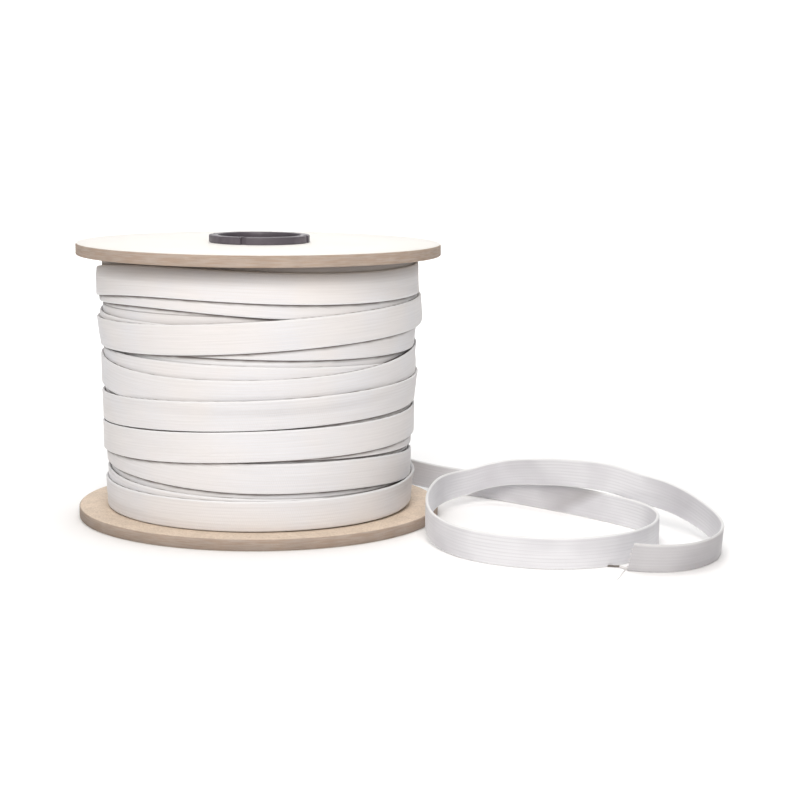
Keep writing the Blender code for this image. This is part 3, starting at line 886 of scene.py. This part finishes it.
class ELASTIC_ROLL_OT_packed_turns(bpy.types.Operator):
    """Makes the packed turns that show in the chinks between the last two layers"""

    bl_idname = "elastic_roll.packed_turns"
    bl_label = "Packed turns"

    def execute(self, context):
        elastic = context.scene.elastic_roll_elastic
        inset, inner, edge_ease = 0.3 * MM, 19.3 * MM, 0.5 * MM
        low, high = WOUND_LOW + inset, WOUND_HIGH - inset
        pitch = elastic.width / elastic.ribs
        heights = np.arange(low, high, pitch / len(RIB_PHASES))
        furrow = np.abs(np.sin(math.pi * (heights - low) / pitch)) ** RIB_ROUNDNESS
        edge = np.abs(np.sin(math.pi * (heights - low) / elastic.width)) ** 0.08
        radii = packed_radius(heights / MM) * MM - 0.1 * MM
        radii += elastic.rib_depth * (furrow - 1.0) + edge_ease * (edge - 1.0)
        outline = [(inner, low)] + list(zip(radii.tolist(), heights.tolist()))
        outline += [(radii[-1].item(), high), (inner, high)]
        packed = turned("packed_turns", outline, PACKED_FACES)
        packed.data.set_sharp_from_angle(angle=math.radians(60.0))

        # The weave runs round the turns, and past its start where a face crosses it
        corners = np.array([loop.vertex_index for loop in packed.data.loops]).reshape(-1, 4)
        points = np.array([packed.matrix_world @ vertex.co for vertex in packed.data.vertices])
        plan = points[:, :2] - np.array([AXIS.x, AXIS.y])
        turns = np.arctan2(*plan.T)
        turn = turns[corners]
        over_the_seam = turn.max(axis=1, keepdims=True) - turn.min(axis=1, keepdims=True) > math.pi
        turn = turn + 2.0 * math.pi * (over_the_seam & (turn < 0.0))
        map_weave(packed.data, np.stack([turn * radii.mean(), points[:, 2][corners] - low], axis=-1) / MM)

        width = elastic.width / MM
        finished = lay_turns(width, elastic.thickness / MM, across_places(width, 1))[3]
        reach = np.hypot(*plan.T) / MM
        shade = shade_on_roll(np.degrees(turns) % 360.0, points[:, 2] / MM, reach, finished)
        add_shade(packed.data, shade)
        settle(packed, bpy.data.materials["woven_polyester_elastic"], "winding")
        return {"FINISHED"}


class ELASTIC_ROLL_OT_wound_tape(bpy.types.Operator):
    """Winds the last two layers of tape turn by turn over the packed ones"""

    bl_idname = "elastic_roll.wound_tape"
    bl_label = "Last two layers"

    def execute(self, context):
        elastic = context.scene.elastic_roll_elastic
        material = woven_elastic(elastic, "woven_polyester_elastic", elastic.yarn, elastic.furrow)
        width, thickness = elastic.width / MM, elastic.thickness / MM
        outer_places = across_places(width, elastic.ribs)
        travel, centres, seats, finished = lay_turns(width, thickness, outer_places)
        kept = travel <= travel[-1] - (360.0 - LAST_TURN_END) + 0.01
        inner_places = np.linspace(0.94, -0.94, 7) * 0.5 * width
        face = half_section(outer_places, elastic)
        back = np.interp(inner_places, outer_places, face)
        rings, shades = [], []
        for angle, centre, seat in zip(travel[kept], centres[kept], seats[kept]):
            middle = seat + 0.5 * thickness
            heights = centre + outer_places
            outer = on_roll(middle + face, angle, heights)
            under = np.interp(inner_places, outer_places, middle) - back
            rings.append(np.concatenate([outer, on_roll(under, angle, centre + inner_places)]))
            outside = shade_on_roll(np.full(len(seat), angle), heights, seat + thickness, finished)
            shades.append(np.concatenate([outside, np.zeros(len(inner_places))]))
        rings = np.array(rings)
        middles = rings[:, len(outer_places) // 2]
        along = np.concatenate([[0.0], np.cumsum(np.linalg.norm(np.diff(middles, axis=0), axis=1))]) / MM
        across = np.concatenate([outer_places, inner_places])
        tape = ribbon("wound_tape", rings, along - along[-1], across)
        add_shade(tape.data, shades)
        settle(tape, material, "winding")
        return {"FINISHED"}


def loose_rows(elastic):
    """The loose end's rows from where it leaves the wound part, in mm and degrees."""
    width, thickness = elastic.width / MM, elastic.thickness / MM
    places = across_places(width, elastic.ribs)
    travel, centres, seats, _ = lay_turns(width, thickness, places)
    last = travel[-1] - 360.0
    rows = []
    for angle in (LAST_TURN_END, *SEATED_ANGLES):
        step = (angle + last) / LAY_STEP
        seat = np.array([np.interp(step, np.arange(len(travel)), column) for column in seats.T])
        centre = np.interp(step, np.arange(len(travel)), centres)
        tilt, middle = np.polyfit(places, seat + 0.5 * thickness, 1)
        radius = middle - 0.5 * width * tilt
        turn = math.radians(angle)
        lean = math.degrees(math.atan(tilt))
        rows.append((radius * math.sin(turn), radius * math.cos(turn), centre - 0.5 * width, lean))
    return rows + list(LOOSE_END)


def loose_path(rows):
    """Even steps along the loose end: its lower edge's x, y and lift in mm, and its lean in radians."""
    rows = np.array(rows, float)
    rows[:, 3] = np.radians(rows[:, 3])
    chord = np.hypot(*np.diff(rows[:, :2], axis=0).T)
    knots = np.concatenate([[0.0], np.cumsum(chord)])
    wanted = np.linspace(0.0, knots[-1], int(round(knots[-1] / LOOSE_STEP)) + 1)
    path = np.stack([smooth_through(knots, rows[:, i], wanted) for i in range(4)], axis=1)
    path[:, 2] = np.maximum(path[:, 2], 0.0)
    return path


class ELASTIC_ROLL_OT_loose_tape(bpy.types.Operator):
    """Lays the loose end in its two loops beside the spool, down to its slanted cut"""

    bl_idname = "elastic_roll.loose_tape"
    bl_label = "Loose end"

    def execute(self, context):
        elastic = context.scene.elastic_roll_elastic
        width, thickness = elastic.width / MM, elastic.thickness / MM
        path = loose_path(loose_rows(elastic))
        way = np.gradient(path[:, :2], axis=0)
        way /= np.hypot(*way.T)[:, None]
        forward = np.column_stack([way, np.zeros(len(path))])
        left = np.column_stack([-way[:, 1], way[:, 0], np.zeros(len(path))])
        up = np.array([0.0, 0.0, 1.0])
        lean = path[:, 3:4]
        rising = np.cos(lean) * up + np.sin(lean) * left
        facing = np.cos(lean) * left - np.sin(lean) * up
        foot = path[:, :3] + 0.5 * thickness * np.abs(np.sin(lean)) * up
        steps = np.concatenate([[0.0], np.cumsum(np.linalg.norm(np.diff(foot, axis=0), axis=1))])

        places = across_places(width, elastic.ribs)
        face = half_section(places, elastic)
        start = np.clip(steps / WANDER_GROWS, 0.0, 1.0)
        cup = wander(steps, *CUP) * start
        flutter = wander(steps, *FLUTTER) * start
        share = places / width + 0.5
        bow = cup[:, None] * (1.0 - (2.0 * share - 1.0) ** 2) + flutter[:, None] * share**2
        cut = np.clip((steps - steps[-1] + SLANT_GROWS) / SLANT_GROWS, 0.0, 1.0)
        slant = cut[:, None] * SLANT * share

        middle = foot[:, None] + (share * width)[None, :, None] * rising[:, None]
        middle = middle + bow[..., None] * facing[:, None] - slant[..., None] * forward[:, None]
        stand = face[None, :, None] * facing[:, None]
        rings = np.concatenate([middle + stand, (middle - stand)[:, ::-1]], axis=1) * MM
        rings += np.array([AXIS.x, AXIS.y, 0.0])
        across = np.concatenate([places, places[::-1]])
        tape = ribbon("loose_tape", rings, steps, across)
        left_shade, right_shade = shade_on_loops(foot, share)
        add_shade(tape.data, np.concatenate([left_shade, right_shade[:, ::-1]], axis=1))
        slack = woven_elastic(elastic, "slack_polyester_elastic", elastic.loose_shade_yarn, elastic.loose_shade_furrow)
        settle(tape, slack, "loose_end")
        return {"FINISHED"}


def strand(points, radii):
    """Rings of points round a line, six to a ring, for a thread of the given radius at each point."""
    way = np.gradient(points, axis=0)
    way /= np.linalg.norm(way, axis=1)[:, None]
    side = np.cross(way, (0.0, 0.0, 1.0))
    side /= np.linalg.norm(side, axis=1)[:, None]
    over = np.cross(side, way)
    turns = np.arange(6) * math.pi / 3.0
    spread = np.cos(turns)[:, None, None] * side + np.sin(turns)[:, None, None] * over
    return points[:, None] + radii[:, None, None] * spread.transpose(1, 0, 2)


def add_strand(corners, faces, points, radii):
    """Adds a closed thread to the lists of corners and faces."""
    rings = strand(points, radii)
    first, count = len(corners), len(rings)
    corners.extend(map(tuple, rings.reshape(-1, 3) * MM + np.array([AXIS.x, AXIS.y, 0.0])))
    for ring in range(count - 1):
        start = first + 6 * ring
        for i in range(6):
            after = (i + 1) % 6
            faces.append((start + i, start + after, start + 6 + after, start + 6 + i))
    faces.append(tuple(first + i for i in reversed(range(6))))
    faces.append(tuple(first + 6 * (count - 1) + i for i in range(6)))


def thread_line(start, tip, sway, steps, seed, start_radius, tip_radius):
    """The points and radii of a thread from start to tip in mm, which sways and keeps off the floor."""
    chance = random.Random(seed)
    share = np.linspace(0.0, 1.0, steps)
    points = np.array(start) + share[:, None] * (np.array(tip) - np.array(start))
    for axis in range(3):
        wave = sway * chance.uniform(-1.0, 1.0) * np.sin(share * chance.uniform(2.0, 5.0))
        points[:, axis] += wave * share
    radii = np.linspace(start_radius, tip_radius, steps)
    points[:, 2] = np.maximum(points[:, 2], radii + 0.02)
    return points, radii


class ELASTIC_ROLL_OT_frayed_end(bpy.types.Operator):
    """Frays the slanted cut: a bared rubber thread, its cover, short yarn ends and one fine yarn"""

    bl_idname = "elastic_roll.frayed_end"
    bl_label = "Frayed end"

    def execute(self, context):
        elastic = context.scene.elastic_roll_elastic
        low, high = np.array(CUT_LOW), np.array(CUT_HIGH)
        self.spin("rubber_thread", [RUBBER], bared_rubber(elastic))
        yarns = [COVER, FINE_YARN]
        chance = random.Random(YARN_SEED)
        for i in range(YARN_ENDS):
            place = low + (high - low) * (i + 0.5) / YARN_ENDS
            reach = chance.uniform(0.3, 0.9)
            tip = place + np.array([-reach, chance.uniform(-0.5, 0.5), chance.uniform(-0.4, 0.3)])
            tip[2] = max(tip[2], 0.2)
            root = place + np.array([0.6, 0.0, 0.0])
            yarns.append((root, tip, 0.2, 5, 30 + i, 0.22, 0.12))
        self.spin("frayed_yarns", yarns, bpy.data.materials["slack_polyester_elastic"])
        return {"FINISHED"}

    def spin(self, name, threads, material):
        """Makes one piece of threads, each given as thread_line takes it."""
        corners, faces = [], []
        for thread in threads:
            add_strand(corners, faces, *thread_line(*thread))
        settle(new_piece(name, corners, faces), material, None)


class ELASTIC_ROLL_OT_stage(bpy.types.Operator):
    """Sets the floor, the lights and the camera"""

    bl_idname = "elastic_roll.stage"
    bl_label = "Floor, lights and camera"

    def execute(self, context):
        stage = context.scene.elastic_roll_stage
        self.lay_floor(stage)
        for name, setting, *others in LIGHTS:
            self.hang_light(name, getattr(stage, setting), *others)
        world = context.scene.world or bpy.data.worlds.new("soft_room")
        context.scene.world = world
        world.use_nodes = True
        sky = world.node_tree.nodes["Background"]
        sky.inputs["Color"].default_value = (1.0, 1.0, 1.0, 1.0)
        sky.inputs["Strength"].default_value = stage.fill
        context.scene.view_settings.view_transform = "Standard"
        self.place_camera(context)
        return {"FINISHED"}

    def lay_floor(self, stage):
        """A floor that sweeps up behind the roll into a backdrop, with no line between them."""
        deselect()
        bpy.ops.mesh.primitive_plane_add(size=1.0, location=(0.0, 0.0, 0.0))
        floor = bpy.context.object
        floor.name = "pale_floor"
        floor.scale = FLOOR_SIZE
        floor.location = FLOOR_MIDDLE
        bpy.ops.object.transform_apply(location=True, rotation=True, scale=True)
        bpy.ops.object.mode_set(mode="EDIT")
        bpy.ops.mesh.select_all(action="DESELECT")
        bpy.ops.object.mode_set(mode="OBJECT")
        for edge in floor.data.edges:
            edge.select = all(floor.data.vertices[i].co.y > 1.0 for i in edge.vertices)
        for vertex in floor.data.vertices:
            vertex.select = vertex.co.y > 1.0
        bpy.ops.object.mode_set(mode="EDIT")
        for i in range(SWEEP_STEPS):
            start, stop = (math.radians(90.0 / SWEEP_STEPS * turn) for turn in (i, i + 1))
            out, rise = math.sin(stop) - math.sin(start), math.cos(start) - math.cos(stop)
            step = (0.0, SWEEP_RADIUS * out, SWEEP_RADIUS * rise)
            bpy.ops.mesh.extrude_edges_move(TRANSFORM_OT_translate={"value": step})
        bpy.ops.mesh.extrude_edges_move(TRANSFORM_OT_translate={"value": (0.0, 0.0, BACKDROP_RISE)})
        bpy.ops.object.mode_set(mode="OBJECT")
        turn_faces_out(floor)
        floor.data.materials.append(pale_floor(stage))

    def hang_light(self, name, power, place, target, size, hex_colour):
        lamp = bpy.data.lights.new(name, "AREA")
        lamp.shape = "DISK"
        lamp.size = size
        lamp.energy = power
        lamp.color = linear(hex_colour)
        light = bpy.data.objects.new(name, lamp)
        bpy.context.scene.collection.objects.link(light)
        light.location = place
        light.rotation_euler = (Vector(target) - light.location).to_track_quat("-Z", "Y").to_euler()

    def place_camera(self, context):
        pitch, roll = math.radians(CAMERA_PITCH), math.radians(CAMERA_ROLL)
        forward = Vector((0.0, math.cos(pitch), -math.sin(pitch)))
        right = Vector((1.0, 0.0, 0.0))
        up = right.cross(forward)
        turned_right = math.cos(roll) * right + math.sin(roll) * up
        turned_up = math.cos(roll) * up - math.sin(roll) * right
        lens = bpy.data.cameras.new("photo_camera")
        lens.lens = CAMERA_LENS
        lens.sensor_width = CAMERA_SENSOR
        lens.clip_start = 0.01
        camera = bpy.data.objects.new("photo_camera", lens)
        context.scene.collection.objects.link(camera)
        camera.matrix_world = Matrix((turned_right, turned_up, -forward)).transposed().to_4x4()
        camera.location = Vector(CAMERA_PLACE) * MM + Vector((AXIS.x, AXIS.y, 0.0))
        context.scene.camera = camera


class ELASTIC_ROLL_PT_panel(bpy.types.Panel):
    """Lists the roll's pieces in the 3D view's sidebar"""

    bl_idname = "ELASTIC_ROLL_PT_panel"
    bl_label = "Roll of flat elastic"
    bl_space_type = "VIEW_3D"
    bl_region_type = "UI"
    bl_category = "Elastic"

    def draw(self, context):
        column = self.layout.column()
        for operator in OPERATORS:
            column.operator(operator.bl_idname)
        for name, group in SETTINGS.items():
            settings = getattr(context.scene, name)
            box = self.layout.box()
            box.label(text=group.__doc__)
            for field in group.__annotations__:
                box.prop(settings, field)


SETTINGS = {
    "elastic_roll_boards": BoardSettings,
    "elastic_roll_core": CoreSettings,
    "elastic_roll_elastic": ElasticSettings,
    "elastic_roll_stage": StageSettings,
}
OPERATORS = (
    ELASTIC_ROLL_OT_stage,
    ELASTIC_ROLL_OT_boards,
    ELASTIC_ROLL_OT_core,
    ELASTIC_ROLL_OT_wound_tape,
    ELASTIC_ROLL_OT_packed_turns,
    ELASTIC_ROLL_OT_loose_tape,
    ELASTIC_ROLL_OT_frayed_end,
)


def register():
    for group in SETTINGS.values():
        bpy.utils.register_class(group)
    for name, group in SETTINGS.items():
        setattr(bpy.types.Scene, name, bpy.props.PointerProperty(type=group))
    for operator in OPERATORS:
        bpy.utils.register_class(operator)
    bpy.utils.register_class(ELASTIC_ROLL_PT_panel)


def unregister():
    bpy.utils.unregister_class(ELASTIC_ROLL_PT_panel)
    for operator in reversed(OPERATORS):
        bpy.utils.unregister_class(operator)
    for name in SETTINGS:
        delattr(bpy.types.Scene, name)
    for group in SETTINGS.values():
        bpy.utils.unregister_class(group)


def main():
    register()
    for operator in OPERATORS:
        family, name = operator.bl_idname.split(".")
        getattr(getattr(bpy.ops, family), name)()
    deselect()


if __name__ == "__main__":
    main()
